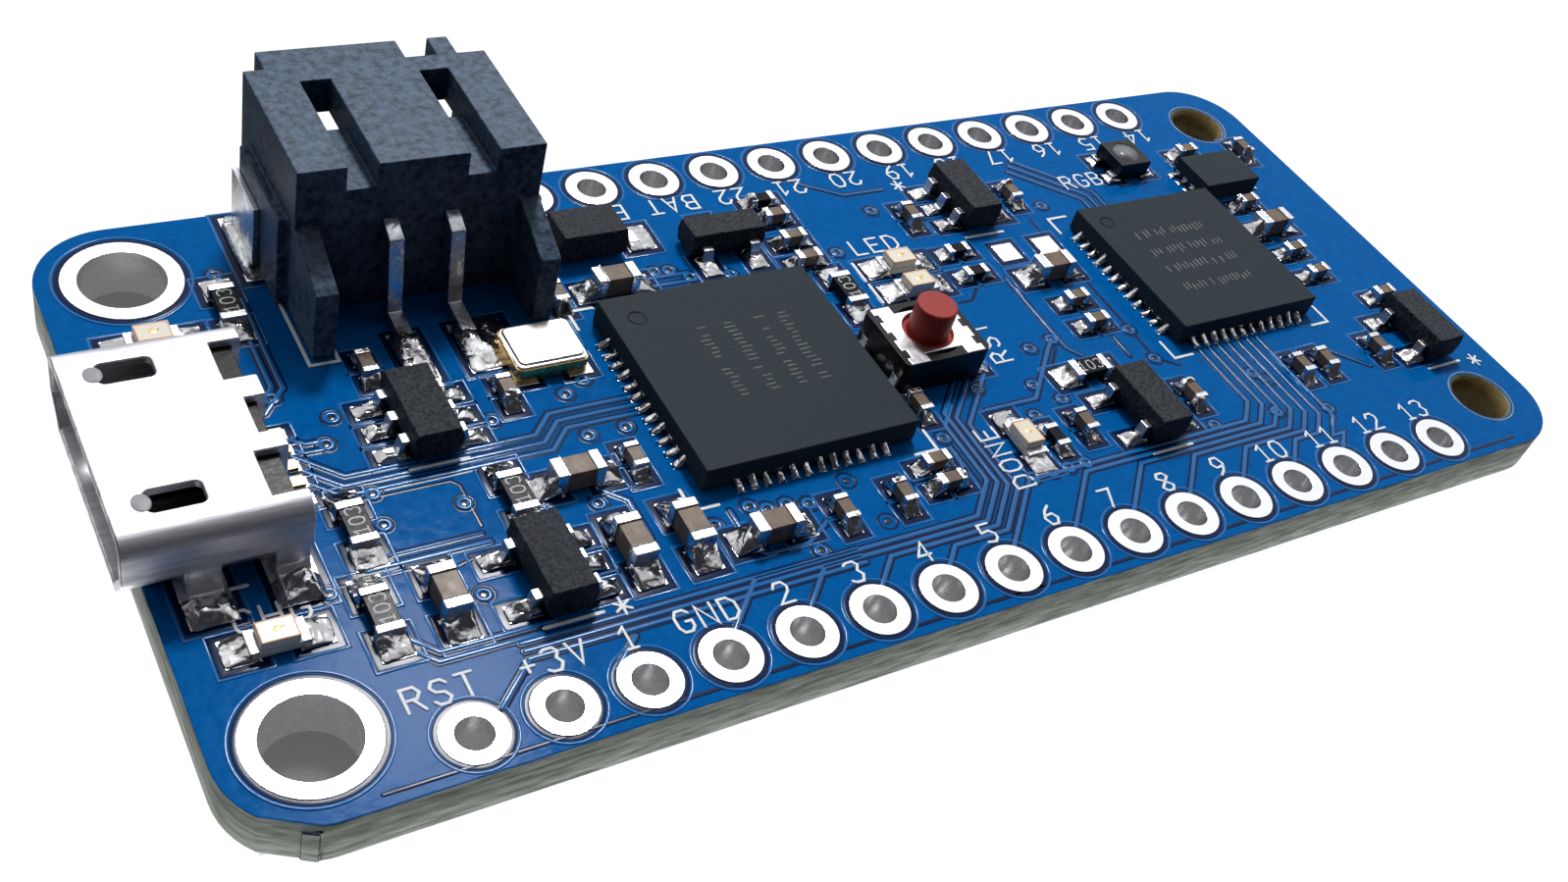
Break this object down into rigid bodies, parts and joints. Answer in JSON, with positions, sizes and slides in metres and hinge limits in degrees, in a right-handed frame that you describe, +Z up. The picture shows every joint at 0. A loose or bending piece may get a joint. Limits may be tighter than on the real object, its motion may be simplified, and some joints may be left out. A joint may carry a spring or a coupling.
{
  "type": "microcontroller development board",
  "caption": "Blue microcontroller development board with two rows of header holes, a USB socket, a side-entry battery socket and a reset button.",
  "frame": {"origin": "centre of the board on its underside", "axes": "+X away from the USB end, +Y towards the edge with the battery socket, +Z up through the parts"},
  "size_m": [0.0514, 0.0237, 0.0071],
  "materials": {
    "solder_mask_board": "glossy blue solder mask over a woven glass laminate",
    "tinned_copper": "bright tinned copper",
    "shell_steel": "satin stainless sheet",
    "moulded_black": "moulded black plastic",
    "gold_contact": "gold flash",
    "socket_plastic": "fine-textured blue-black plastic",
    "lead_tin": "tinned lead frame",
    "chip_moulding": "charcoal moulding compound",
    "package_moulding": "grainy dark moulding compound",
    "lid_steel": "plated sheet metal",
    "button_plastic": "brick-red moulded plastic",
    "capacitor_ceramic": "tan fired ceramic",
    "resistor_film": "black glaze",
    "end_cap_tin": "plated end caps with solder",
    "light_base": "white laminate",
    "light_lens": "cast resin",
    "colour_light_lens": "cast resin"
  },
  "bodies": {
    "board": {"board_laminate": "solder_mask_board", "near_header_eyelets": "tinned_copper", "far_header_eyelets": "tinned_copper", "mounting_eyelets": "tinned_copper", "component_lands": "tinned_copper", "usb_shell": "shell_steel", "usb_tongue": "moulded_black", "usb_contacts": "gold_contact", "battery_socket_housing": "socket_plastic", "battery_socket_pins": "lead_tin", "battery_socket_tabs": "lead_tin", "main_chip_body": "chip_moulding", "main_chip_terminals": "lead_tin", "second_chip_body": "chip_moulding", "second_chip_terminals": "lead_tin", "memory_chip_body": "chip_moulding", "memory_chip_terminals": "lead_tin", "crystal_base": "gold_contact", "crystal_lid": "lid_steel", "charger_chip_body": "package_moulding", "charger_chip_leads": "lead_tin", "usb_guard_body": "package_moulding", "usb_guard_leads": "lead_tin", "near_regulator_body": "package_moulding", "near_regulator_leads": "lead_tin", "far_regulator_body": "package_moulding", "far_regulator_leads": "lead_tin", "supervisor_body": "package_moulding", "supervisor_leads": "lead_tin", "power_switch_body": "package_moulding", "power_switch_leads": "lead_tin", "diode_body": "package_moulding", "diode_leads": "lead_tin", "reset_switch_base": "moulded_black", "reset_switch_cover": "lid_steel", "reset_switch_dome": "lid_steel", "reset_switch_legs": "lead_tin", "large_capacitor_bodies": "capacitor_ceramic", "large_capacitor_terminals": "end_cap_tin", "small_capacitor_bodies": "capacitor_ceramic", "small_capacitor_terminals": "end_cap_tin", "large_resistor_bodies": "resistor_film", "large_resistor_terminals": "end_cap_tin", "small_resistor_bodies": "resistor_film", "small_resistor_terminals": "end_cap_tin", "status_led_bases": "light_base", "status_led_lenses": "light_lens", "status_led_terminals": "end_cap_tin", "colour_led_body": "moulded_black", "colour_led_lens": "colour_light_lens", "colour_led_terminals": "end_cap_tin"},
    "reset_button": {"reset_button": "button_plastic"}
  },
  "joints": [
    {"name": "reset_button_press", "type": "slide", "parent": "board", "child": "reset_button", "axis": [0, 0, -1], "range_m": [0, 0.00025], "stiffness_N_per_m": 1200, "deforming": ["reset_switch_dome"]}
  ]
}
